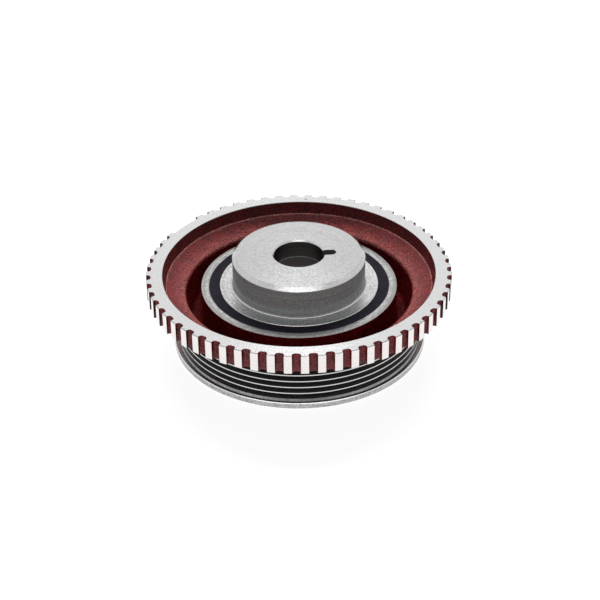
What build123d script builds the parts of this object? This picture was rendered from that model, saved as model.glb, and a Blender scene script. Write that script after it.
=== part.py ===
from build123d import *
import math
import os

# Harmonic balancer (torsional vibration damper) for the nose of a crankshaft.
# Three pieces: a keyed hub, an inertia ring that carries the ribbed belt track
# and the toothed trigger rim, and the moulded rubber ring that joins the two.
#
# Millimetres.  Z is the crankshaft axis and points towards the engine.
# The origin is on that axis, in the outer front face, on which the part stands.
# The keyway lies on +X, and every other angle is counted from it.

# ------------------------------------------------------------------------ hub
HUB_DIAMETER = 81.6          # over the bonded cylinder
HUB_FACE_DROP = 7.9          # hub face below the top face of the trigger rim
HUB_EDGE = 0.4
HUB_FRONT_RECESS = 3.0       # hub rim above the front face of the inertia ring
BOSS_DIAMETER = 68.0
BOSS_HEIGHT = 17.4           # above the hub face
BOSS_CHAMFER = 1.9
BOSS_FOOT = 0.6              # 45 degree bevel where the boss meets the hub face
BORE_DIAMETER = 25.5
BORE_CHAMFER = 0.7
BORE_LENGTH = 9.9            # boss face to the seat of the crankshaft bolt
KEYWAY_WIDTH = 5.0
KEYWAY_DEPTH = 6.45          # wall of the bore to the far end of the keyway
WELL_DIAMETER = 42.0         # clears the head and washer of the crankshaft bolt
WELL_CHAMFER = 1.0
HUB_RIM_WALL = 5.0
HUB_WEB_THICKNESS = 12.0     # web between the hub's rim and the boss
HUB_DISH_DRAFT = 5.0         # degrees
HUB_DISH_CORNER = 2.5        # 45 degree bevel round the web's underside

# --------------------------------------------------------------- rubber spring
RUBBER_THICKNESS = 5.45      # radial
RUBBER_TOP_RECESS = 0.3      # below the sleeve's face
RUBBER_FRONT_RECESS = 5.0    # above the front face of the inertia ring
RUBBER_HOLLOW = 0.5          # depth of the vee moulded into both end faces

# -------------------------------------------- bonded sleeve and pocket round it
SLEEVE_WALL = 4.1
SLEEVE_DROP = 8.2            # sleeve face below the top face of the trigger rim
SLEEVE_BEVEL_WIDTH = 1.9     # shallow bevel round the sleeve's outer edge
SLEEVE_BEVEL_DROP = 0.45
SLEEVE_FRONT_CHAMFER = 1.0
POCKET_WIDTH = 8.2           # at its mouth
POCKET_DRAFT = 9.0           # degrees, outer wall of the pocket
POCKET_FLOOR = 14.0          # height of the pocket's floor above the front face
POCKET_CORNER = 2.0          # 45 degree bevels along both sides of its floor
POCKET_LIP = 0.9             # bevel between pocket and dish, along either side

# ----------------------------------------------------------------- belt track
BELT_RIBS = 6
RIB_PITCH = 3.56
GROOVE_ANGLE = 40.0
GROOVE_DEPTH = 2.9
GROOVE_ROOT_WIDTH = 0.9
TRACK_WALL = 1.15            # radial, groove root to the pocket's mouth
TRACK_LANDING = 0.8          # plain track between the first groove and the flange
NECK_LENGTH = 2.83           # plain track between the last groove and the web
FLANGE_RISE = 2.8            # guide flange beyond the crests, radial
FLANGE_WIDTH = 3.6
FLANGE_EDGE = 0.35           # chamfer on the belt side
FLANGE_FRONT_CHAMFER = 0.7   # chamfer on the front face

# --------------------------------------------------------- dish and trigger rim
WEB_THICKNESS = 3.6          # of the dish's sloping floor
DISH_FLOOR_SLOPE = 23.6      # degrees, falling towards the sleeve
DISH_WALL_DRAFT = 15.0       # degrees from the axis
DISH_FOOT = 0.4              # bevel at the foot of that wall, up and inwards
RIM_RISE = 2.36              # rim's underside above the foot of the web
RIM_OVERHANG = 15.65         # tooth tips beyond the crests of the belt track
RIM_WALL = 8.15              # radial wall of the rim at its top face
RIM_OUTER_EDGE = 0.35        # chamfers of the turned top face
RIM_INNER_EDGE = 0.45
TRIGGER_WIDTH = 10.5         # length of the teeth along the axis
TOOTH_PITCHES = 60           # pitches on the full circle
MISSING_TEETH = 2            # left out to mark the reference position
GAP_ANGLE = 139.3            # keyway to the middle of the missing teeth, degrees
SLOT_WIDTH = 4.35            # gap between two teeth
SLOT_DEPTH = 2.35
SLOT_CORNER = 1.5            # radius in the root corners of a slot

# ------------------------------------------------- radii, from the hub outwards
bore_radius = BORE_DIAMETER / 2
well_radius = WELL_DIAMETER / 2
boss_radius = BOSS_DIAMETER / 2
hub_radius = HUB_DIAMETER / 2
sleeve_bore = hub_radius + RUBBER_THICKNESS
sleeve_radius = sleeve_bore + SLEEVE_WALL
pocket_radius = sleeve_radius + POCKET_WIDTH
groove_root_radius = pocket_radius + TRACK_WALL
track_radius = groove_root_radius + GROOVE_DEPTH
flange_radius = track_radius + FLANGE_RISE
tooth_tip = track_radius + RIM_OVERHANG
tooth_root = tooth_tip - SLOT_DEPTH
pitch_angle = 360 / TOOTH_PITCHES

def drop(run, degrees):
    """Fall of a line over a run, for its slope in degrees."""
    return run * math.tan(math.radians(degrees))


# ------------------------------------------- heights, from the front face upwards
groove_half_mouth = GROOVE_ROOT_WIDTH / 2 + drop(GROOVE_DEPTH, GROOVE_ANGLE / 2)
first_groove = FLANGE_WIDTH + TRACK_LANDING + groove_half_mouth
last_groove = first_groove + (BELT_RIBS - 1) * RIB_PITCH
neck_height = last_groove + groove_half_mouth + NECK_LENGTH
rim_underside = neck_height + RIM_RISE
ring_height = rim_underside + TRIGGER_WIDTH
sleeve_top = ring_height - SLEEVE_DROP
hub_top = ring_height - HUB_FACE_DROP
boss_top = hub_top + BOSS_HEIGHT
bolt_seat = boss_top - BORE_LENGTH


def turned(corners):
    """Revolve a closed outline of (radius, height) corners about Z."""
    outline = make_face(Polyline(*corners, close=True))
    return revolve(Plane.XZ * outline, Axis.Z)


# --------------------------------------------------------------- inertia ring
def belt_groove_corners():
    """Outline of the grooves, from the first above the guide flange to the last."""
    half_root = GROOVE_ROOT_WIDTH / 2
    corners = []
    for rib in range(BELT_RIBS):
        centre = first_groove + rib * RIB_PITCH
        corners.append((track_radius, centre - groove_half_mouth))
        corners.append((groove_root_radius, centre - half_root))
        corners.append((groove_root_radius, centre + half_root))
        corners.append((track_radius, centre + groove_half_mouth))
    return corners


def dish_floor_height(radius):
    """Height of the sloping floor, one web thickness above the web's underside."""
    web_drop = WEB_THICKNESS / math.cos(math.radians(DISH_FLOOR_SLOPE))
    return neck_height + web_drop + drop(radius - track_radius, DISH_FLOOR_SLOPE)


def dish_wall_depth(rim_inside):
    """Depth at which the drafted inner wall of the rim meets the sloping floor."""
    height_left = ring_height - dish_floor_height(rim_inside)
    return height_left / (1 - drop(1, DISH_WALL_DRAFT) * drop(1, DISH_FLOOR_SLOPE))


def ring_blank():
    """The casting as turned, before the trigger slots are milled."""
    rim_inside = tooth_tip - RIM_WALL
    foot = rim_inside - drop(dish_wall_depth(rim_inside), DISH_WALL_DRAFT)
    web_corner = track_radius + RIM_RISE / drop(1, DISH_FLOOR_SLOPE)
    pocket_mouth = dish_floor_height(pocket_radius)
    pocket_wall_height = pocket_mouth - POCKET_FLOOR - POCKET_CORNER
    pocket_foot = pocket_radius - drop(pocket_wall_height, POCKET_DRAFT)

    sleeve = [
        (sleeve_bore, SLEEVE_FRONT_CHAMFER),
        (sleeve_bore, sleeve_top),
        (sleeve_radius - SLEEVE_BEVEL_WIDTH, sleeve_top),
        (sleeve_radius, sleeve_top - SLEEVE_BEVEL_DROP),
    ]
    dish = [
        (sleeve_radius, POCKET_FLOOR + POCKET_CORNER),
        (sleeve_radius + POCKET_CORNER, POCKET_FLOOR),
        (pocket_foot - POCKET_CORNER, POCKET_FLOOR),
        (pocket_foot, POCKET_FLOOR + POCKET_CORNER),
        (pocket_radius - drop(POCKET_LIP, POCKET_DRAFT), pocket_mouth - POCKET_LIP),
        (pocket_radius + POCKET_LIP, dish_floor_height(pocket_radius + POCKET_LIP)),
        (foot - DISH_FOOT, dish_floor_height(foot - DISH_FOOT)),
        (foot + drop(DISH_FOOT, DISH_WALL_DRAFT), dish_floor_height(foot) + DISH_FOOT),
        (rim_inside - drop(RIM_INNER_EDGE, DISH_WALL_DRAFT), ring_height - RIM_INNER_EDGE),
        (rim_inside + RIM_INNER_EDGE, ring_height),
    ]
    rim = [
        (tooth_tip - RIM_OUTER_EDGE, ring_height),
        (tooth_tip, ring_height - RIM_OUTER_EDGE),
        (tooth_tip, rim_underside),
        (web_corner, rim_underside),
        (track_radius, neck_height),
    ]
    guide_flange = [
        (track_radius, FLANGE_WIDTH),
        (flange_radius - FLANGE_EDGE, FLANGE_WIDTH),
        (flange_radius, FLANGE_WIDTH - FLANGE_EDGE),
        (flange_radius, FLANGE_FRONT_CHAMFER),
        (flange_radius - FLANGE_FRONT_CHAMFER, 0),
        (sleeve_bore + SLEEVE_FRONT_CHAMFER, 0),
    ]
    belt_track = list(reversed(belt_groove_corners()))
    return turned(sleeve + dish + rim + belt_track + guide_flange)


def slot_cutter():
    """One trigger slot on +X: a round-cornered channel, open outwards."""
    length = 2 * SLOT_DEPTH
    middle = tooth_root + length / 2
    outline = Pos(middle, 0) * Rectangle(length, SLOT_WIDTH)
    root_corners = outline.vertices().sort_by(Axis.X)[:2]
    outline = fillet(root_corners, SLOT_CORNER)
    return Pos(0, 0, rim_underside - TRIGGER_WIDTH) * extrude(outline, 3 * TRIGGER_WIDTH)


def gap_cutter():
    """The long slot where the teeth are missing: a sector of a ring about +X."""
    half_angle = MISSING_TEETH * pitch_angle / 2
    sector = Plane.XY * CenterArc((0, 0), tooth_root, -half_angle, 2 * half_angle)
    outer = CenterArc((0, 0), tooth_tip + SLOT_DEPTH, -half_angle, 2 * half_angle)
    side_a = Line(sector @ 0, outer @ 0)
    side_b = Line(sector @ 1, outer @ 1)
    outline = make_face([sector, side_b, outer, side_a])
    return Pos(0, 0, rim_underside - TRIGGER_WIDTH) * extrude(outline, 3 * TRIGGER_WIDTH)


def build_inertia_ring():
    """Turned casting with the trigger slots milled across the rim."""
    slots_at_gap = MISSING_TEETH + 1
    first_slot = GAP_ANGLE - (slots_at_gap - 1) * pitch_angle / 2
    slot = slot_cutter()
    cutters = [Rot(0, 0, first_slot + i * pitch_angle) * slot for i in range(TOOTH_PITCHES)]
    cutters.append(Rot(0, 0, GAP_ANGLE) * gap_cutter())
    return ring_blank() - cutters


# ---------------------------------------------------------------- rubber ring
def build_rubber_ring():
    """Moulded ring, as thick as the gap, with a shallow vee in both end faces."""
    low = RUBBER_FRONT_RECESS
    high = sleeve_top - RUBBER_TOP_RECESS
    middle = (hub_radius + sleeve_bore) / 2
    corners = [
        (hub_radius, low),
        (hub_radius, high),
        (middle, high - RUBBER_HOLLOW),
        (sleeve_bore, high),
        (sleeve_bore, low),
        (middle, low + RUBBER_HOLLOW),
    ]
    return turned(corners)


# ------------------------------------------------------------------------ hub
def hub_blank():
    """The hub as turned, bored from both sides."""
    web_under = hub_top - HUB_WEB_THICKNESS
    rim_inside = hub_radius - HUB_RIM_WALL
    dish_wall_height = web_under - HUB_DISH_CORNER - HUB_FRONT_RECESS
    dish_floor_radius = rim_inside - drop(dish_wall_height, HUB_DISH_DRAFT)
    bore_and_well = [
        (well_radius + WELL_CHAMFER, web_under),
        (well_radius, web_under + WELL_CHAMFER),
        (well_radius, bolt_seat),
        (bore_radius, bolt_seat),
        (bore_radius, boss_top - BORE_CHAMFER),
        (bore_radius + BORE_CHAMFER, boss_top),
    ]
    boss = [
        (boss_radius - BOSS_CHAMFER, boss_top),
        (boss_radius, boss_top - BOSS_CHAMFER),
        (boss_radius, hub_top + BOSS_FOOT),
        (boss_radius + BOSS_FOOT, hub_top),
    ]
    rim = [
        (hub_radius - HUB_EDGE, hub_top),
        (hub_radius, hub_top - HUB_EDGE),
        (hub_radius, HUB_FRONT_RECESS + HUB_EDGE),
        (hub_radius - HUB_EDGE, HUB_FRONT_RECESS),
        (rim_inside, HUB_FRONT_RECESS),
        (dish_floor_radius, web_under - HUB_DISH_CORNER),
        (dish_floor_radius - HUB_DISH_CORNER, web_under),
    ]
    return turned(bore_and_well + boss + rim)


def keyway_cutter():
    """Round-ended keyway on +X, through the whole bore."""
    half = KEYWAY_WIDTH / 2
    end_centre = bore_radius + KEYWAY_DEPTH - half
    flank = Pos(end_centre / 2, 0) * Rectangle(end_centre, KEYWAY_WIDTH)
    outline = flank + Pos(end_centre, 0) * Circle(half)
    return Pos(0, 0, bolt_seat - KEYWAY_WIDTH) * extrude(outline, BORE_LENGTH + 2 * KEYWAY_WIDTH)


def build_hub():
    """Turned hub with its keyway broached through the bore."""
    return hub_blank() - keyway_cutter()


PIECES = {
    "hub": build_hub,
    "rubber_ring": build_rubber_ring,
    "inertia_ring": build_inertia_ring,
}

os.makedirs("parts", exist_ok=True)
for name, build in PIECES.items():
    solid = build()
    solid.label = name
    export_step(solid, f"parts/{name}.step")
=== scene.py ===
import math

import bpy
import numpy as np
from mathutils import Matrix, Vector


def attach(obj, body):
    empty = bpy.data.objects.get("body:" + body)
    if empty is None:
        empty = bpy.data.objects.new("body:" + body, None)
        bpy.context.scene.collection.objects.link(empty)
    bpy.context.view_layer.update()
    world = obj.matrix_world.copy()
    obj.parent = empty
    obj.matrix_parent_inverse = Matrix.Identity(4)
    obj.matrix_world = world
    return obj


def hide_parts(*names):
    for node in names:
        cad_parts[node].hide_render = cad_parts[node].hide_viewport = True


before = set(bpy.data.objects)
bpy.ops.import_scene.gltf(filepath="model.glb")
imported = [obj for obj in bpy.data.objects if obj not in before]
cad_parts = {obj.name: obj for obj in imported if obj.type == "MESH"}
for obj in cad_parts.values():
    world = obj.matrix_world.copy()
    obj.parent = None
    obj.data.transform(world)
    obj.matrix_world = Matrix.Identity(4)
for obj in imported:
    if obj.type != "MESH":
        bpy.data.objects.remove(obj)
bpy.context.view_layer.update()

# A harmonic balancer: keyed hub, moulded rubber ring, and an inertia ring with a
# ribbed belt track and a toothed trigger rim.  Sizes are in millimetres and drafts
# and slopes in degrees.  The Z axis is the crankshaft's, the keyway lies on +X, and
# z = 0 is the front face.
MILLIMETRE = 0.001           # in metres

# ------------------------------------------------------------------------ hub
HUB_RADIUS = 40.8
HUB_TOP = 33.0
HUB_EDGE = 0.15
HUB_FRONT = 3.0
HUB_RIM_INSIDE = 35.8
HUB_WEB_UNDER = 21.0
HUB_DISH_DRAFT = 5.0
HUB_DISH_CORNER = 2.5
BOSS_RADIUS = 34.0
BOSS_TOP = 50.4
BOSS_CHAMFER = 1.9
BOSS_FILLET = 0.9
BOSS_FOOT_LINE = 0.1         # bright line above the fillet
BORE_RADIUS = 12.75
BORE_CHAMFER = 0.7
# painted highlight: the paler journal finish as a band at the bore's foot, where the
# seat's edge catches light
BORE_FOOT_HIGHLIGHT = 0.5         # paler band at the bore's foot
BORE_POINTS = 145            # on half of the bore
BOLT_SEAT = 40.5
KEYWAY_HALF_WIDTH = 2.5
KEYWAY_END = 16.7            # centre of its round end
KEYWAY_DEBURR = 0.1
KEYWAY_END_POINTS = 13       # on a quarter turn
KEYWAY_FLANK_POINTS = 7
WELL_RADIUS = 21.0
WELL_CHAMFER = 1.0

# ---------------------------------------------------------------- rubber ring
RUBBER_TOP = 32.4
RUBBER_FRONT = 5.0
RUBBER_HOLLOW = 0.5
RUBBER_POINTS = 15           # across an end face
RUBBER_TURN_STEPS = 300

# ------------------------------------------------------- sleeve, pocket, dish
SLEEVE_BORE = 46.25
SLEEVE_BORE_EDGE = 0.25
SLEEVE_RADIUS = 50.35
SLEEVE_TOP = 32.7
SLEEVE_BEVEL_WIDTH = 1.9
SLEEVE_BEVEL_DROP = 0.22
SLEEVE_BEVEL_ROUND = 0.2
SLEEVE_FRONT_CHAMFER = 1.0
POCKET_RADIUS = 58.55
POCKET_DRAFT = 9.0
POCKET_FLOOR = 14.0
POCKET_FILLET = 2.0
POCKET_LIP = 1.6
WEB_THICKNESS = 3.6
WEB_CORNER_ROUND = 0.6
DISH_FLOOR_SLOPE = 23.6
DISH_WALL_DRAFT = 15.0
DISH_FOOT_RADIUS = 0.8
DISH_SAG = 0.5
DISH_STEPS = 7

# ----------------------------------------------------------------- belt track
TRACK_RADIUS = 62.6
GROOVE_ROOT_RADIUS = 59.7
BELT_RIBS = 6
RIB_PITCH = 3.56
FIRST_GROOVE = 5.9055
GROOVE_HALF_ROOT = 0.45
GROOVE_HALF_MOUTH = 1.5055
GROOVE_ROOT_ROUND = 0.3
NECK_HEIGHT = 28.04
NECK_FILLET = 1.5
FLANGE_RADIUS = 65.4
FLANGE_WIDTH = 3.6
FLANGE_EDGE = 0.35
FLANGE_FRONT_CHAMFER = 0.7

# ---------------------------------------------------------------- trigger rim
RIM_TOP = 40.9
RIM_UNDER = 30.4
RIM_WALL = 8.15
RIM_OUTER_EDGE = 0.35
RIM_INNER_EDGE = 0.2
TOOTH_TIP = 78.25
TOOTH_PITCHES = 60
PITCH = math.radians(360 / TOOTH_PITCHES)
MISSING_TEETH = 2
GAP_ANGLE = math.radians(139.3)
SLOT_WIDTH = 4.35
SLOT_DEPTH = 2.35
SLOT_CORNER = 1.5
SLOT_DEBURR = 0.06
SLOT_CORNER_POINTS = 5
HALF_TIP_POINTS = 3
TOOTH_ROOT = TOOTH_TIP - SLOT_DEPTH
LATHE_END = TOOTH_ROOT - 2   # radius where the turned rows end
TOOTHED_FROM = TOOTH_ROOT - 1        # and where the toothed loops begin
RIM_MARKS = (                # radius, degrees from the keyway, size
    (73.1, 83.2, 0.55),      # timing dot
    (73.5, -31.9, 0.3),
    (77.0, -43.6, 0.3),
    (71.7, 124.5, 0.25))

# --------------------------------------------------------------------- meshes
ARC_STEP = 18                # degrees a step, about, on a rounded corner
SHARP_EDGE = math.radians(32)
TOUCHING = 0.01              # within this a point counts as on a circle

# finishes, by their place in a piece's material slots
(TURNED, PAINTED, GROOVED, SLEEVE, BEVEL,
 SLOTTED, SHADED, WALLED, FLANGE, TIPPED) = range(10)       # inertia ring
JOURNAL, BORED, FACED, KEYED = range(1, 5)                  # hub, after TURNED
MOULDED = 0                                                 # rubber


# ------------------------------------------------------------------- sections
def drop(run, degrees):
    """How far a slope of that angle moves over a run."""
    return run * math.tan(math.radians(degrees))


def rounded(corner, before, after, rounding):
    """A corner replaced by an arc, in equal steps.

    Its centre lies on the bisector of the two sides, rounding / sin(half angle) from
    the corner, and the arc turns from one side's tangent point to the other's.
    """
    towards_before = (before - corner) / np.linalg.norm(before - corner)
    towards_after = (after - corner) / np.linalg.norm(after - corner)
    half = math.acos(np.clip(towards_before @ towards_after, -1, 1)) / 2
    bisector = towards_before + towards_after
    centre = corner + bisector / np.linalg.norm(bisector) * rounding / math.sin(half)
    start = corner + towards_before * rounding / math.tan(half) - centre
    end = corner + towards_after * rounding / math.tan(half) - centre
    turn = math.pi - 2 * half
    steps = max(2, round(math.degrees(turn) / ARC_STEP))
    t = np.linspace(0, 1, steps + 1)[:, None]
    spoke = (np.sin((1 - t) * turn) * start + np.sin(t * turn) * end) / math.sin(turn)
    return centre + spoke


def section(corners):
    """Outline of a turned piece, as (radius, height) rows and a finish for each band.

    A corner is (radius, height, rounding, finish).  A rounding of 0 keeps it sharp, as
    the first and the last one are, and any other makes it an arc.  The finish is that
    of the band that leaves the corner, and the arc takes it too.
    """
    points = np.array([corner[:2] for corner in corners], dtype=float)
    rows = []
    finishes = []
    for i, (_, _, rounding, finish) in enumerate(corners):
        if rounding:
            arc = rounded(points[i], points[i - 1], points[i + 1], rounding)
        else:
            arc = points[i][None]
        rows.append(arc)
        finishes += [finish] * len(arc)
    return np.concatenate(rows), finishes


def turned_loops(rows, angles):
    """One closed loop of points for each row: the row's radius and height, carried
    round the Z axis to every angle."""
    radius = rows[:, 0][:, None]
    x, y = radius * np.cos(angles), radius * np.sin(angles)
    height = np.broadcast_to(rows[:, 1][:, None], x.shape)
    return list(np.stack([x, y, height], axis=-1))


def flat_loop(outline, height):
    """A loop over the outline's (x, y) points, at one height or at one for each."""
    heights = np.broadcast_to(height, len(outline))
    return np.column_stack([outline, heights])


# ----------------------------------------------------------------- shell mesh
def band_faces(lower, upper):
    """Faces between two closed loops of vertex numbers, and the step each belongs to.

    Loops of equal length give quads.  Where one loop has twice the points of the
    other, each of its pairs of steps is closed by three triangles.
    """
    if len(lower) == len(upper):
        quads = np.column_stack([lower, np.roll(lower, -1), np.roll(upper, -1), upper])
        return quads, np.arange(len(lower))
    flip = len(lower) < len(upper)
    fine, coarse = (upper, lower) if flip else (lower, upper)
    a, b, c = fine[0::2], fine[1::2], np.roll(fine[0::2], -1)
    near, far = coarse, np.roll(coarse, -1)
    triangles = np.concatenate([
        np.column_stack([a, b, near]),
        np.column_stack([b, far, near]),
        np.column_stack([b, c, far])])
    if flip:
        triangles = triangles[:, ::-1]
    return triangles, np.tile(np.arange(len(coarse)), 3)


def shell(name, loops, finishes, materials):
    """A closed shell: every loop is joined to the next, and the last to the first.

    A finish is one number for a whole band, or an array with one for each step, and
    the materials are given by finish.
    """
    starts = np.cumsum([0] + [len(loop) for loop in loops])
    numbers = [np.arange(starts[i], starts[i + 1]) for i in range(len(loops))]
    corners = []
    lengths = []
    slots = []
    for i, finish in enumerate(finishes):
        faces, steps = band_faces(numbers[i], numbers[(i + 1) % len(loops)])
        corners.append(faces.ravel())
        lengths.append(np.full(len(faces), faces.shape[1]))
        slots.append(np.broadcast_to(finish, len(numbers[i]))[steps])
    points = np.concatenate(loops) * MILLIMETRE
    corners = np.concatenate(corners)
    lengths = np.concatenate(lengths)

    mesh = bpy.data.meshes.new(name)
    mesh.vertices.add(len(points))
    mesh.vertices.foreach_set("co", points.ravel())
    mesh.loops.add(len(corners))
    mesh.loops.foreach_set("vertex_index", corners)
    mesh.polygons.add(len(lengths))
    mesh.polygons.foreach_set("loop_start", np.cumsum(lengths) - lengths)
    mesh.polygons.foreach_set("material_index", np.concatenate(slots))
    mesh.update(calc_edges=True)
    mesh.validate()
    mesh.shade_smooth()
    mesh.set_sharp_from_angle(angle=SHARP_EDGE)
    for finish in sorted(materials):
        mesh.materials.append(materials[finish])
    piece = bpy.data.objects.new(name, mesh)
    bpy.context.scene.collection.objects.link(piece)
    return piece


# ---------------------------------------------------------------- trigger rim
def toothed_outline():
    """Edge of the trigger rim from above, anticlockwise, as 16 (x, y) points a pitch,
    with the angle of each and whether it lies on a tooth tip.

    About a slot's centre line the half outline runs along the flat floor, round
    the root corner, out along the wall and over half a tooth tip.  It is mirrored
    for the other half and turned to every pitch.  The angles step evenly from
    slot to slot, and where teeth are missing the edge follows the root circle.
    """
    half_width = SLOT_WIDTH / 2
    turn = np.radians(np.linspace(-90, 0, SLOT_CORNER_POINTS))
    corner_x = TOOTH_ROOT + SLOT_CORNER + SLOT_CORNER * np.sin(turn)
    corner_y = half_width - SLOT_CORNER + SLOT_CORNER * np.cos(turn)
    wall_end = math.asin(half_width / TOOTH_TIP)
    tip = np.linspace(wall_end, PITCH / 2, HALF_TIP_POINTS)
    half_x = np.concatenate([[TOOTH_ROOT], corner_x, TOOTH_TIP * np.cos(tip)])
    half_y = np.concatenate([[0], corner_y, TOOTH_TIP * np.sin(tip)])
    one_side = half_x + 1j * half_y
    other_side = np.conj(one_side[-2:0:-1]) * np.exp(1j * PITCH)
    pitch_edge = np.concatenate([one_side, other_side])

    first_slot = GAP_ANGLE - MISSING_TEETH / 2 * PITCH
    slots = np.exp(1j * (first_slot + PITCH * np.arange(TOOTH_PITCHES)))
    edge = (slots[:, None] * pitch_edge).ravel()
    angle = first_slot + PITCH * np.arange(len(edge)) / len(pitch_edge)
    in_gap = np.arange(len(edge)) < MISSING_TEETH * len(pitch_edge)
    edge = np.where(in_gap, TOOTH_ROOT * np.exp(1j * angle), edge)
    on_tip = np.abs(edge) > TOOTH_TIP - TOUCHING
    return np.column_stack([edge.real, edge.imag]), angle, on_tip


def inset(outline, amount):
    """A closed outline moved into the material, each side by its own amount.

    A point goes back along the mitre of its two sides' normals by the mean of their
    amounts, and across it, along the normals' difference, by half of what they
    differ by.
    """
    side = np.roll(outline, -1, axis=0) - outline
    after = np.column_stack([side[:, 1], -side[:, 0]])
    after /= np.linalg.norm(after, axis=1)[:, None]
    before = np.roll(after, 1, axis=0)
    earlier = np.roll(amount, 1)
    cosine = np.sum(before * after, axis=1)
    mitre = (before + after) / (1 + cosine)[:, None]
    straight = 1e-6          # keeps the quotient finite on a straight run
    across = (after - before) / np.maximum(1 - cosine, straight)[:, None]
    return (outline - mitre * ((amount + earlier) / 2)[:, None]
            - across * ((amount - earlier) / 2)[:, None])


def dish_floor_height(radius):
    """The floor rises outwards from the pocket's mouth at one mean slope, the web's
    thickness above the web's underside, which starts at the neck."""
    web_rise = WEB_THICKNESS / math.cos(math.radians(DISH_FLOOR_SLOPE))
    return NECK_HEIGHT + web_rise + drop(radius - TRACK_RADIUS, DISH_FLOOR_SLOPE)


def dish_floor_corners(foot):
    """Points between the wall's foot and the pocket's mouth: below the mean slope by a
    parabola, so the floor steepens towards the wall."""
    t = np.linspace(0, 1, DISH_STEPS + 1)[1:-1]
    radius = foot + (POCKET_RADIUS - foot) * t
    height = dish_floor_height(radius) - DISH_SAG * 4 * t * (1 - t)
    return [(r, h, 0, PAINTED) for r, h in zip(radius, height)]


def ring_section():
    """Section of the casting from the rim's top face inwards, round the front and
    out along the belt track to the rim's underside."""
    rim_inside = TOOTH_TIP - RIM_WALL
    closing = 1 - drop(1, DISH_WALL_DRAFT) * drop(1, DISH_FLOOR_SLOPE)
    wall_depth = (RIM_TOP - dish_floor_height(rim_inside)) / closing
    foot = rim_inside - drop(wall_depth, DISH_WALL_DRAFT)
    rim_edge = rim_inside - drop(RIM_INNER_EDGE, DISH_WALL_DRAFT)
    pocket_mouth = dish_floor_height(POCKET_RADIUS)
    pocket_lip = POCKET_RADIUS - drop(POCKET_LIP, POCKET_DRAFT)
    pocket_foot = POCKET_RADIUS - drop(pocket_mouth - POCKET_FLOOR, POCKET_DRAFT)
    web_corner = TRACK_RADIUS + (RIM_UNDER - NECK_HEIGHT) / drop(1, DISH_FLOOR_SLOPE)
    corners = [
        (LATHE_END, RIM_TOP, 0, TURNED),
        (rim_inside + RIM_INNER_EDGE, RIM_TOP, 0, TURNED),
        # painted shade: the dish's wall takes the darker copy of the red paint
        (rim_edge, RIM_TOP - RIM_INNER_EDGE, 0, SHADED),
        (foot, dish_floor_height(foot), DISH_FOOT_RADIUS, PAINTED),
        *dish_floor_corners(foot),
        (POCKET_RADIUS, pocket_mouth, POCKET_LIP, PAINTED),
        # painted shade: the pocket's walls and floor take the darker copy of the red
        # paint
        (pocket_lip, pocket_mouth - POCKET_LIP, 0, SHADED),
        (pocket_foot, POCKET_FLOOR, POCKET_FILLET, SHADED),
        (SLEEVE_RADIUS, POCKET_FLOOR, POCKET_FILLET, SHADED),
        (SLEEVE_RADIUS, SLEEVE_TOP - SLEEVE_BEVEL_DROP, SLEEVE_BEVEL_ROUND, BEVEL),
        (SLEEVE_RADIUS - SLEEVE_BEVEL_WIDTH, SLEEVE_TOP, 0, SLEEVE),
        (SLEEVE_BORE + SLEEVE_BORE_EDGE, SLEEVE_TOP, 0, SLEEVE),
        (SLEEVE_BORE, SLEEVE_TOP - SLEEVE_BORE_EDGE, 0, TURNED),
        (SLEEVE_BORE, SLEEVE_FRONT_CHAMFER, 0, TURNED),
        (SLEEVE_BORE + SLEEVE_FRONT_CHAMFER, 0, 0, TURNED),
        (FLANGE_RADIUS - FLANGE_FRONT_CHAMFER, 0, 0, TURNED),
        (FLANGE_RADIUS, FLANGE_FRONT_CHAMFER, 0, FLANGE),
        (FLANGE_RADIUS, FLANGE_WIDTH - FLANGE_EDGE, 0, TURNED),
        (FLANGE_RADIUS - FLANGE_EDGE, FLANGE_WIDTH, 0, TURNED),
        (TRACK_RADIUS, FLANGE_WIDTH, 0, BEVEL),
    ]
    for rib in range(BELT_RIBS):
        centre = FIRST_GROOVE + rib * RIB_PITCH
        corners += [
            # painted shade: the grooves' flanks and roots take the near-black groove
            # metal
            (TRACK_RADIUS, centre - GROOVE_HALF_MOUTH, 0, GROOVED),
            (GROOVE_ROOT_RADIUS, centre - GROOVE_HALF_ROOT, GROOVE_ROOT_ROUND, GROOVED),
            (GROOVE_ROOT_RADIUS, centre + GROOVE_HALF_ROOT, GROOVE_ROOT_ROUND, GROOVED),
            (TRACK_RADIUS, centre + GROOVE_HALF_MOUTH, 0, TURNED),
        ]
    corners += [
        (TRACK_RADIUS, NECK_HEIGHT, NECK_FILLET, PAINTED),
        (web_corner, RIM_UNDER, WEB_CORNER_ROUND, PAINTED),
        (LATHE_END, RIM_UNDER, 0, PAINTED),
    ]
    return section(corners)


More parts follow.
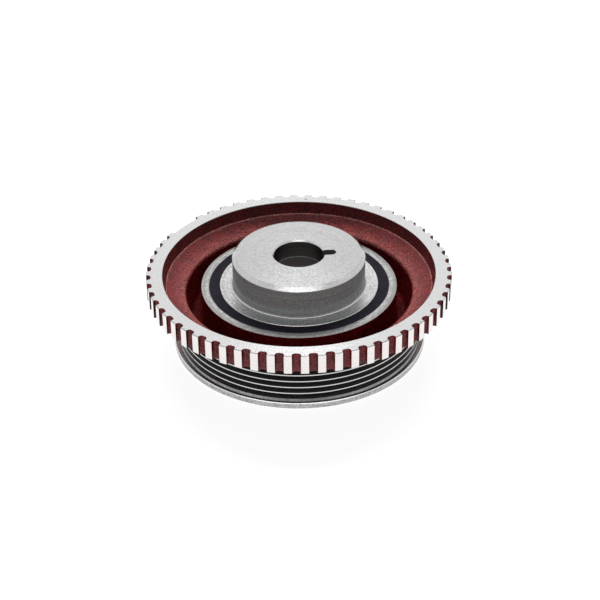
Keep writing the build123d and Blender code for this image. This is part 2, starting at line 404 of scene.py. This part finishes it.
def build_inertia_ring(materials):
    """The casting: its section is turned to every other angle of the toothed edge, and
    loops along that edge close it round the rim, with a small bevel at each face."""
    edge, angle, on_tip = toothed_outline()
    step_on_tip = on_tip & np.roll(on_tip, -1)
    bevel_height = np.where(on_tip, RIM_OUTER_EDGE, SLOT_DEBURR)
    edge_in = inset(edge, np.where(step_on_tip, RIM_OUTER_EDGE, SLOT_DEBURR))
    circle = np.column_stack([np.cos(angle), np.sin(angle)]) * TOOTHED_FROM
    past_corner = np.hypot(*edge.T) > TOOTH_ROOT + SLOT_CORNER - TOUCHING
    step_on_wall = past_corner & np.roll(past_corner, -1)
    # painted shade: the slots' side walls take a near-black copy of the red paint;
    # painted light: their floors take a lighter copy
    edge_finish = np.select([step_on_tip, step_on_wall], [TIPPED, WALLED], SLOTTED)
    top_edge_finish = np.where(step_on_tip, BEVEL, edge_finish)

    rows, finishes = ring_section()
    loops = turned_loops(rows, angle[0::2])
    loops += [
        flat_loop(circle, RIM_UNDER),
        flat_loop(edge_in, RIM_UNDER),
        flat_loop(edge, RIM_UNDER + bevel_height),
        flat_loop(edge, RIM_TOP - bevel_height),
        flat_loop(edge_in, RIM_TOP),
        flat_loop(circle, RIM_TOP),
    ]
    finishes += [PAINTED, edge_finish, edge_finish, top_edge_finish, TURNED, TURNED]
    return shell("inertia_ring_casting", loops, finishes, materials)


# ------------------------------------------------------------------------ hub
def keyed_bore_outline(bore_grow, keyway_grow):
    """Bore with its keyway on +X, anticlockwise from the keyway's end, each grown by
    its own amount: half a round end, one flank, the bore's arc, the other flank and
    the other half of the end."""
    half_width = KEYWAY_HALF_WIDTH + keyway_grow
    bore = BORE_RADIUS + bore_grow
    end = np.radians(np.linspace(0, 90, KEYWAY_END_POINTS)[:-1])
    end_x = KEYWAY_END + half_width * np.cos(end)
    end_y = half_width * np.sin(end)
    mouth = math.asin(half_width / bore)
    flank_x = np.linspace(KEYWAY_END, bore * math.cos(mouth), KEYWAY_FLANK_POINTS)[:-1]
    flank_y = np.full(len(flank_x), half_width)
    arc = np.linspace(mouth, math.pi, BORE_POINTS)
    x = np.concatenate([end_x, flank_x, bore * np.cos(arc)])
    y = np.concatenate([end_y, flank_y, bore * np.sin(arc)])
    half = np.column_stack([x, y])
    return np.concatenate([half, half[-2:0:-1] * [1, -1]])


def build_hub(materials):
    """The hub: its section is turned to the angles of the keyed bore's points, and the
    loops of the bore close it."""
    bore = keyed_bore_outline(0, 0)
    bore_chamfered = keyed_bore_outline(BORE_CHAMFER, KEYWAY_DEBURR)
    in_keyway = np.hypot(*bore.T) > BORE_RADIUS + TOUCHING
    chamfer_foot = BOSS_TOP - np.where(in_keyway, KEYWAY_DEBURR, BORE_CHAMFER)
    angles = np.arctan2(bore[:, 1], bore[:, 0])
    dish_wall = HUB_WEB_UNDER - HUB_DISH_CORNER - HUB_FRONT
    dish_floor_radius = HUB_RIM_INSIDE - drop(dish_wall, HUB_DISH_DRAFT)
    corners = [
        (WELL_RADIUS, BOLT_SEAT, 0, BORED),
        (WELL_RADIUS, HUB_WEB_UNDER + WELL_CHAMFER, 0, TURNED),
        (WELL_RADIUS + WELL_CHAMFER, HUB_WEB_UNDER, 0, TURNED),
        (dish_floor_radius, HUB_WEB_UNDER, HUB_DISH_CORNER, TURNED),
        (HUB_RIM_INSIDE, HUB_FRONT, 0, TURNED),
        (HUB_RADIUS - HUB_EDGE, HUB_FRONT, 0, TURNED),
        (HUB_RADIUS, HUB_FRONT + HUB_EDGE, 0, TURNED),
        (HUB_RADIUS, HUB_TOP - HUB_EDGE, 0, TURNED),
        (HUB_RADIUS - HUB_EDGE, HUB_TOP, 0, FACED),
        (BOSS_RADIUS, HUB_TOP, BOSS_FILLET, TURNED),
        (BOSS_RADIUS, HUB_TOP + BOSS_FILLET + BOSS_FOOT_LINE, 0, JOURNAL),
        (BOSS_RADIUS, BOSS_TOP - BOSS_CHAMFER, 0, TURNED),
        (BOSS_RADIUS - BOSS_CHAMFER, BOSS_TOP, 0, TURNED),
        (WELL_RADIUS, BOSS_TOP, 0, TURNED),
    ]
    rows, finishes = section(corners)
    loops = turned_loops(rows, angles)
    loops += [
        flat_loop(bore_chamfered, BOSS_TOP),
        flat_loop(bore, chamfer_foot),
        flat_loop(bore, BOLT_SEAT + BORE_FOOT_HIGHLIGHT),
        flat_loop(bore, BOLT_SEAT),
    ]
    # painted highlight: the band at the bore's foot takes the paler journal finish
    finishes += [TURNED, np.where(in_keyway, KEYED, BORED), JOURNAL, BORED]
    return shell("hub_turning", loops, finishes, materials)


# ---------------------------------------------------------------- rubber ring
def build_rubber_ring(materials):
    """Moulded ring: both end faces sink to the middle along a shallow parabola."""
    across = np.linspace(0, 1, RUBBER_POINTS)
    radius = HUB_RADIUS + (SLEEVE_BORE - HUB_RADIUS) * across
    hollow = RUBBER_HOLLOW * 4 * across * (1 - across)
    top = np.column_stack([radius, RUBBER_TOP - hollow])
    front = np.column_stack([radius, RUBBER_FRONT + hollow])
    rows = np.concatenate([top[::-1], front])
    angles = np.linspace(0, 2 * math.pi, RUBBER_TURN_STEPS, endpoint=False)
    finishes = [MOULDED] * len(rows)
    return shell("rubber_moulding", turned_loops(rows, angles), finishes, materials)


# --------------------------------------------------------------- shader maths
class Shade:
    """A node socket that takes part in arithmetic: every operator adds its Math node."""

    def __init__(self, finish, socket):
        self.finish = finish
        self.socket = socket

    def math(self, operation, *terms):
        """A Math node on this value and the other terms."""
        return self.finish.node("ShaderNodeMath", {"operation": operation},
                                dict(enumerate((self, *terms))))

    def __add__(self, other):
        return self.math("ADD", other)

    def __radd__(self, other):
        return self.math("ADD", other)

    def __sub__(self, other):
        return self.math("SUBTRACT", other)

    def __rsub__(self, other):
        return self.math("MULTIPLY", -1) + other

    def __mul__(self, other):
        return self.math("MULTIPLY", other)

    def __rmul__(self, other):
        return self.math("MULTIPLY", other)


class Finish:
    """A node tree and the ways to add to it."""

    def __init__(self, owner):
        self.owner = owner
        owner.use_nodes = True
        self.tree = owner.node_tree
        self.tree.nodes.clear()

    def node(self, kind, settings=None, inputs=None, output=0):
        """Add a node: its settings first, then a value or a link for each input."""
        node = self.tree.nodes.new(kind)
        for key, value in (settings or {}).items():
            setattr(node, key, value)
        for key, value in (inputs or {}).items():
            if isinstance(value, Shade):
                self.tree.links.new(value.socket, node.inputs[key])
            else:
                node.inputs[key].default_value = value
        return Shade(self, node.outputs[output]) if len(node.outputs) else None

    def outputs(self, kind, inputs=None):
        """Every output of a new node, by its name."""
        node = self.node(kind, inputs=inputs).socket.node
        return {socket.name: Shade(self, socket) for socket in node.outputs}

    def split(self, vector):
        """A vector's x, y and z."""
        return self.outputs("ShaderNodeSeparateXYZ", {0: vector}).values()

    def millimetres(self):
        """Object coordinates in millimetres, as a vector, then x, y and z."""
        metres = self.node("ShaderNodeTexCoord", output="Object")
        place = self.node("ShaderNodeVectorMath", {"operation": "SCALE"},
                          {0: metres, "Scale": 1 / MILLIMETRE})
        return place, *self.split(place)

    def vector(self, x, y, z):
        """A vector of three parts."""
        return self.node("ShaderNodeCombineXYZ", inputs={0: x, 1: y, 2: z})

    def from_axis(self, x, y):
        """Distance from an upright line, at which x and y are 0."""
        return self.node("ShaderNodeVectorMath", {"operation": "LENGTH"},
                         {0: self.vector(x, y, 0.0)}, output="Value")

    def noise(self, place, scale, detail, roughness):
        """Fractal noise between 0 and 1."""
        return self.node("ShaderNodeTexNoise", {"noise_dimensions": "3D"},
                         {"Vector": place, "Scale": scale, "Detail": detail,
                          "Roughness": roughness})

    def ramp(self, value, span, levels=(0.0, 1.0)):
        """Straight line between two levels over a span, held at both ends."""
        return self.node("ShaderNodeMapRange", {"clamp": True},
                         {0: value, 1: span[0], 2: span[1], 3: levels[0], 4: levels[1]})

    def blend(self, factor, first, second):
        """Colour that goes from the first to the second as the factor rises.  The Mix
        node has its colours at sockets 6 and 7, and their blend at output 2."""
        return self.node("ShaderNodeMix", {"data_type": "RGBA"},
                         {0: factor, 6: first, 7: second}, output=2)

    def relief(self, height, rise):
        """Bump that stands up by the rise, in metres, where the height goes up by 1."""
        return self.node("ShaderNodeBump",
                         inputs={"Height": height, "Distance": rise, "Strength": 1.0})

    def surface(self, **sockets):
        """Principled surface: an underscore in a name stands for a space."""
        named = {key.replace("_", " "): value for key, value in sockets.items()}
        shader = self.node("ShaderNodeBsdfPrincipled", inputs=named)
        self.node("ShaderNodeOutputMaterial", inputs={"Surface": shader})
        return self.owner


def new_finish(name):
    """The empty node tree of a new material."""
    return Finish(bpy.data.materials.new(name))


# -------------------------------------------------------------------- finishes
NEUTRAL = (1.0, 1.0, 1.0)
STEEL_BLUE = (0.87, 1.0, 1.01)
OVERSPRAY = (1.0, 0.97, 0.96)        # a breath of the red paint
RED_HAZE = (1.0, 0.945, 0.93)        # more of it
# brown tint of the painted shade in the bore and the well
SHADE_BROWN = (1.0, 0.86, 0.84)
DEEP_RED = (0.070, 0.002, 0.002)
THIN_RED = (0.300, 0.016, 0.021)
SHEEN_PINK = (0.70, 0.26, 0.22)
DEEP_RUBBER = (0.012, 0.010, 0.017)
BLOOMED_RUBBER = (0.024, 0.019, 0.030)

# noises, as features in a millimetre, octaves and their weight
FINE_RINGS = (2.4, 3.0, 0.7)
COARSE_RINGS = (0.8, 2.0, 0.6)
METAL_GRAIN = (0.9, 4.0, 0.8)
PAINT_GRAIN = (1.1, 2.0, 0.6)
PAINT_PATCHES = (0.12, 4.0, 0.6)
RUBBER_GRAIN = (1.2, 3.0, 0.7)
RUBBER_BLOOM = (0.16, 3.0, 0.6)
NOISE_MEAN = 0.5
NOISE_SPAN = (0.3, 0.7)      # holds nearly all of a noise
NOISE_CORE = (0.4, 0.6)

RING_DRIFT = 0.012           # change of the rings round the axis, in each millimetre
FINE_SHARE = 0.55            # of the rings, the rest is coarse
MARKS_ROUGHNESS = (0.06, -0.05)
MARKS_RELIEF = 0.00002
ACROSS_THE_MARKS = 0.25      # quarter turn of the highlight's long side
DOT_TONE = 0.04
DOT_EDGE = (0.6, 1.2)        # in sizes of the dot

PAINT_GRAIN_SHARE = 0.75     # of the thin places, the rest is patches
PAINT_ROUGHNESS = (0.20, 0.28)
PAINT_RELIEF = 0.0006
# painted highlight along the dish's foot, and painted sheen that makes the floor paler
# towards the axis; both are broken into specks
HIGHLIGHT_LINE = 68.4             # radius of the dish's foot
HIGHLIGHT_HALF_WIDTH = (0.2, 0.6)
SHEEN_RADII = (60.0, 66.0)
SHEEN_LEVEL = 0.3
SPECKS = (0.42, 0.60)
SPECK_LEVELS = (0.3, 1.0)

RUBBER_GRAIN_SHARE = 0.6     # of the tone, the rest is bloom
RUBBER_ROUGHNESS = (0.55, 0.68)
RUBBER_GLOSS = 0.12
RUBBER_RELIEF = 0.0001


def tinted(level, tint=NEUTRAL):
    """Opaque colour: each part of the tint times the level."""
    return (level * tint[0], level * tint[1], level * tint[2], 1)


def turned_metal(name, tone, contrast, roughness, rings, grit,
                 metallic=1.0, tint=NEUTRAL, anisotropy=0.5, dots=()):
    """Bare metal off the lathe.  Rings run round the axis, so they follow radius on a
    face and height on a wall; grit is the grain of the metal itself.  Together they
    shade the tone by the contrast, roughen it and stand up as a fine relief, and the
    highlight is drawn out across them.  Each dot is a dark spot about its own
    upright line."""
    finish = new_finish(name)
    place, x, y, z = finish.millimetres()
    along = finish.vector(finish.from_axis(x, y), z, (x + y) * RING_DRIFT)
    fine = finish.noise(along, *FINE_RINGS)
    coarse = finish.noise(along, *COARSE_RINGS)
    grain = finish.noise(place, *METAL_GRAIN)
    fine_marks = (fine - NOISE_MEAN) * (FINE_SHARE * rings)
    coarse_marks = (coarse - NOISE_MEAN) * ((1 - FINE_SHARE) * rings)
    marks = NOISE_MEAN + fine_marks + coarse_marks + (grain - NOISE_MEAN) * grit
    colour = finish.blend(finish.ramp(marks, NOISE_SPAN),
                          tinted(tone * (1 - contrast), tint),
                          tinted(tone * (1 + contrast), tint))
    for radius, degrees, size in dots:
        angle = math.radians(degrees)
        away = finish.from_axis(x - radius * math.cos(angle),
                                y - radius * math.sin(angle))
        edge = [size * part for part in DOT_EDGE]
        colour = finish.blend(finish.ramp(away, edge, (1, 0)), colour, tinted(DOT_TONE))
    return finish.surface(
        Base_Color=colour,
        Metallic=metallic,
        Roughness=finish.ramp(marks, NOISE_SPAN,
                              [roughness + change for change in MARKS_ROUGHNESS]),
        Anisotropic=anisotropy,
        Anisotropic_Rotation=ACROSS_THE_MARKS,
        Normal=finish.relief(marks, MARKS_RELIEF))


def red_paint(name, lift, gloss, painted_sheen=False):
    """Dark red paint, sprayed over rough cast iron: a fine grain stands up through it,
    and it lies thinner and pinker in some patches than in others.  The lift scales its
    colour, and lighter and darker copies of the paint stand in for light and shade.
    With painted sheen, a painted highlight is laid on as a pale line of specks along
    the dish's foot, and painted sheen makes the paint paler, in specks, towards the axis."""
    finish = new_finish(name)
    place, x, y, _ = finish.millimetres()
    grain = finish.noise(place, *PAINT_GRAIN)
    patches = finish.noise(place, *PAINT_PATCHES)
    thin = finish.ramp(patches * (1 - PAINT_GRAIN_SHARE) + grain * PAINT_GRAIN_SHARE,
                       NOISE_CORE)
    colour = finish.blend(thin, tinted(lift, DEEP_RED), tinted(lift, THIN_RED))
    # painted highlight: a pale line of specks along the dish's foot; painted sheen: pale
    # specks that thin out away from the axis
    if painted_sheen:
        radius = finish.from_axis(x, y)
        off_line = (radius - HIGHLIGHT_LINE).math("ABSOLUTE")
        sheen = (finish.ramp(off_line, HIGHLIGHT_HALF_WIDTH, (1, 0))
                  + finish.ramp(radius, SHEEN_RADII, (SHEEN_LEVEL, 0)))
        sheen = sheen * finish.ramp(grain, SPECKS, SPECK_LEVELS)
        colour = finish.blend(sheen, colour, tinted(1, SHEEN_PINK))
    return finish.surface(
        Base_Color=colour,
        Roughness=finish.ramp(grain, NOISE_SPAN, PAINT_ROUGHNESS),
        Specular_IOR_Level=gloss,
        Normal=finish.relief(grain, PAINT_RELIEF))


def moulded_rubber(name):
    """Near-black rubber, dull, with a bluish bloom and a fine moulded grain."""
    finish = new_finish(name)
    place = finish.millimetres()[0]
    grain = finish.noise(place, *RUBBER_GRAIN)
    bloom = finish.noise(place, *RUBBER_BLOOM)
    pale = finish.ramp(bloom * (1 - RUBBER_GRAIN_SHARE) + grain * RUBBER_GRAIN_SHARE,
                       NOISE_CORE)
    return finish.surface(
        Base_Color=finish.blend(pale, tinted(1, DEEP_RUBBER), tinted(1, BLOOMED_RUBBER)),
        Roughness=finish.ramp(grain, NOISE_SPAN, RUBBER_ROUGHNESS),
        Specular_IOR_Level=RUBBER_GLOSS,
        Normal=finish.relief(grain, RUBBER_RELIEF))


# --------------------------------------------------------------------- studio
FLOOR_HALF = 4.0             # metres
FLOOR_TONE = 0.88
SEEN_FLOOR_TONE = 0.25       # what the camera and mirrors see: dimmer paint, and a glow
SEEN_FLOOR_GLOW = 0.9

# The room's walls and ceiling set in over a span of a direction's part along an
# axis.  Mirror-like surfaces see the MIRRORED levels on top of the others.
BACK_WALL = (0.0, 0.6)
SIDE_WALLS = (0.35, 0.75)
CEILING = (0.75, 0.97)
CEILING_LEVELS = (1.0, 0.15)
ROOM_LEVEL = 0.08
ROOM_MIRRORED = 0.48
WALL_LEVEL = 0.25
WALL_MIRRORED = 0.15

CAMERA_TURN = math.radians(-3.5)
CAMERA_ELEVATION = math.radians(32.842)
CAMERA_ROLL = math.radians(0.661)
CAMERA_PLACE = (0.41, -719.5, 486.5)
LENS = 99.0
SENSOR_WIDTH = 36
CLIP_END = 20                # metres


def studio_world():
    """Soft white room.  Its back wall is brighter than the rest and its ceiling dimmer;
    mirror-like surfaces see bright side walls too, and more light all round.  What
    the camera itself sees beyond the floor is white."""
    world = bpy.data.worlds.new("studio")
    bpy.context.scene.world = world
    finish = Finish(world)
    across, back, height = finish.split(
        finish.node("ShaderNodeTexCoord", output="Generated"))
    path = finish.outputs("ShaderNodeLightPath")
    mirrored = path["Is Glossy Ray"]
    above = finish.ramp(height, CEILING, CEILING_LEVELS)
    side = finish.ramp(across.math("ABSOLUTE"), SIDE_WALLS) * mirrored
    walls = finish.ramp(back, BACK_WALL).math("MAXIMUM", side)
    room = mirrored * ROOM_MIRRORED + ROOM_LEVEL
    level = (room + (mirrored * WALL_MIRRORED + WALL_LEVEL) * walls) * above
    lit = finish.node("ShaderNodeBackground",
                      inputs={"Color": tinted(1), "Strength": level})
    white = finish.node("ShaderNodeBackground",
                        inputs={"Color": tinted(1), "Strength": 1.0})
    both = finish.node("ShaderNodeMixShader",
                       inputs={0: path["Is Camera Ray"], 1: lit, 2: white})
    finish.node("ShaderNodeOutputWorld", inputs={"Surface": both})


def studio_floor():
    """Plain white floor that keeps the shadow; the camera and mirror-like surfaces see
    it a little brighter than it lights the part."""
    mesh = bpy.data.meshes.new("studio_floor")
    h = FLOOR_HALF
    mesh.from_pydata([(-h, -h, 0), (h, -h, 0), (h, h, 0), (-h, h, 0)], [], [(0, 1, 2, 3)])
    floor = bpy.data.objects.new("studio_floor", mesh)
    bpy.context.scene.collection.objects.link(floor)
    finish = new_finish("white_floor")
    matt = finish.node("ShaderNodeBsdfDiffuse", inputs={"Color": tinted(FLOOR_TONE)})
    pale = finish.node("ShaderNodeBsdfDiffuse", inputs={"Color": tinted(SEEN_FLOOR_TONE)})
    glow = finish.node("ShaderNodeEmission",
                       inputs={"Color": tinted(1), "Strength": SEEN_FLOOR_GLOW})
    path = finish.outputs("ShaderNodeLightPath")
    seen = path["Is Camera Ray"].math("MAXIMUM", path["Is Glossy Ray"])
    lifted = finish.node("ShaderNodeAddShader", inputs={0: pale, 1: glow})
    both = finish.node("ShaderNodeMixShader", inputs={0: seen, 1: matt, 2: lifted})
    finish.node("ShaderNodeOutputMaterial", inputs={"Surface": both})
    mesh.materials.append(finish.owner)


def softbox(name, azimuth, elevation, distance, size, radiance,
            spread=180, mirrored=True):
    """Rectangular lamp that faces the part.  Azimuth is counted from the camera, to the
    right, and the size is (across, up) in metres.  Its power is pi times area times
    radiance.  A spread below 180 degrees narrows its beam, so that it fades out
    towards its ends."""
    data = bpy.data.lights.new(name, "AREA")
    data.shape = "RECTANGLE"
    data.size, data.size_y = size
    data.energy = math.pi * size[0] * size[1] * radiance
    data.spread = math.radians(spread)
    lamp = bpy.data.objects.new(name, data)
    lamp.visible_glossy = mirrored
    a, e = math.radians(azimuth) + CAMERA_TURN, math.radians(elevation)
    place = Vector((math.sin(a) * math.cos(e), -math.cos(a) * math.cos(e), math.sin(e)))
    lamp.matrix_world = (Matrix.Translation(place * distance)
                         @ place.to_track_quat("Z", "Y").to_matrix().to_4x4())
    bpy.context.scene.collection.objects.link(lamp)


def studio_camera():
    """Camera with a long lens: it is rolled, tilted down and set back from the part,
    then turned about the axis, so that the keyway lies on its right."""
    data = bpy.data.cameras.new("camera")
    data.lens = LENS
    data.sensor_width = SENSOR_WIDTH
    data.clip_end = CLIP_END
    camera = bpy.data.objects.new("camera", data)
    turn = Matrix.Rotation(CAMERA_TURN, 4, "Z")
    place = Matrix.Translation(Vector(CAMERA_PLACE) * MILLIMETRE)
    tilt = Matrix.Rotation(math.pi / 2 - CAMERA_ELEVATION, 4, "X")
    roll = Matrix.Rotation(-CAMERA_ROLL, 4, "Z")
    camera.matrix_world = turn @ place @ tilt @ roll
    bpy.context.scene.collection.objects.link(camera)
    bpy.context.scene.camera = camera


# ------------------------------------------------------------------- assembly
ring = build_inertia_ring({
    TURNED: turned_metal("turned_iron", tone=0.73, contrast=0.07, roughness=0.20,
                         rings=0.5, grit=0.7, dots=RIM_MARKS),
    # painted highlight and painted sheen on the dish's floor, over the paint's own grain
    PAINTED: red_paint("dark_red_paint", lift=1.15, gloss=0.5, painted_sheen=True),
    # painted shade: a near-black copy of the turned iron in the belt grooves, which lie
    # in the rim's shadow
    GROOVED: turned_metal("groove_metal_painted_shade", tone=0.13, contrast=0.30, roughness=0.30,
                          rings=1.0, grit=0.4),
    SLEEVE: turned_metal("sleeve_face", tone=0.49, contrast=0.42, roughness=0.24,
                         rings=1.3, grit=1.5, anisotropy=0.7),
    BEVEL: turned_metal("sleeve_bevel", tone=0.41, contrast=0.35, roughness=0.28,
                        rings=1.0, grit=1.2, tint=OVERSPRAY),
    # painted light: a lighter copy of the red paint on the slots' floors, which face the
    # front
    SLOTTED: red_paint("red_slot_paint_painted_light", lift=1.25, gloss=0.4),
    # painted shade: a darker copy of the red paint for the dish's wall and the pocket,
    # where shade falls
    SHADED: red_paint("red_paint_painted_shade", lift=0.55, gloss=0.15),
    # painted shade: a near-black copy of the red paint on the slots' side walls
    WALLED: red_paint("slot_wall_painted_shade", lift=0.12, gloss=0.3),
    FLANGE: turned_metal("flange_land", tone=0.42, contrast=0.38, roughness=0.28,
                         rings=0.8, grit=1.7),
    # painted light: a brighter copy of the turned iron on the tooth tips, standing in for
    # the white floor they reflect; the red haze is paint left on them
    TIPPED: turned_metal("tooth_tip_painted_light", tone=0.83, contrast=0.07, roughness=0.20,
                         rings=0.5, grit=0.7, tint=RED_HAZE),
})
hub = build_hub({
    TURNED: turned_metal("turned_steel", tone=0.555, contrast=0.13, roughness=0.17,
                         rings=0.6, grit=1.2),
    JOURNAL: turned_metal("ground_journal", tone=0.44, contrast=0.30, roughness=0.42,
                          rings=1.2, grit=1.2, metallic=0.2, tint=STEEL_BLUE),
    # painted shade: a near-black, brownish copy of the steel in the bore and the well,
    # where shade falls
    BORED: turned_metal("bored_steel_painted_shade", tone=0.06, contrast=0.30, roughness=0.40,
                        rings=1.0, grit=0.5, tint=SHADE_BROWN),
    FACED: turned_metal("faced_steel", tone=0.62, contrast=0.30, roughness=0.27,
                        rings=1.1, grit=1.6, anisotropy=0.8),
    KEYED: turned_metal("broached_steel", tone=0.09, contrast=0.30, roughness=0.50,
                        rings=0.5, grit=1.0, metallic=0.3),
})
rubber = build_rubber_ring({MOULDED: moulded_rubber("moulded_rubber")})

for piece, node, slot in (
        (ring, "inertia_ring", "painted_casting"),
        (hub, "hub", "machined_steel"),
        (rubber, "rubber_ring", "rubber")):
    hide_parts(node)
    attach(piece, "root")

studio_world()
studio_floor()
softbox("key_softbox", azimuth=180, elevation=50, distance=1.2, size=(1.2, 0.16),
        radiance=24.0, mirrored=False)
softbox("fill_softbox", azimuth=0, elevation=8, distance=1.5, size=(0.6, 0.5),
        radiance=1.6, mirrored=False)
softbox("front_strip", azimuth=0, elevation=57, distance=1.3, size=(2.4, 0.30),
        radiance=0.55, spread=100)
softbox("top_lamp", azimuth=180, elevation=82, distance=1.2, size=(0.26, 0.26),
        radiance=1.0)
softbox("back_window", azimuth=180, elevation=38, distance=1.5, size=(0.12, 0.10),
        radiance=1.7)
studio_camera()
bpy.context.scene.view_settings.view_transform = "Standard"
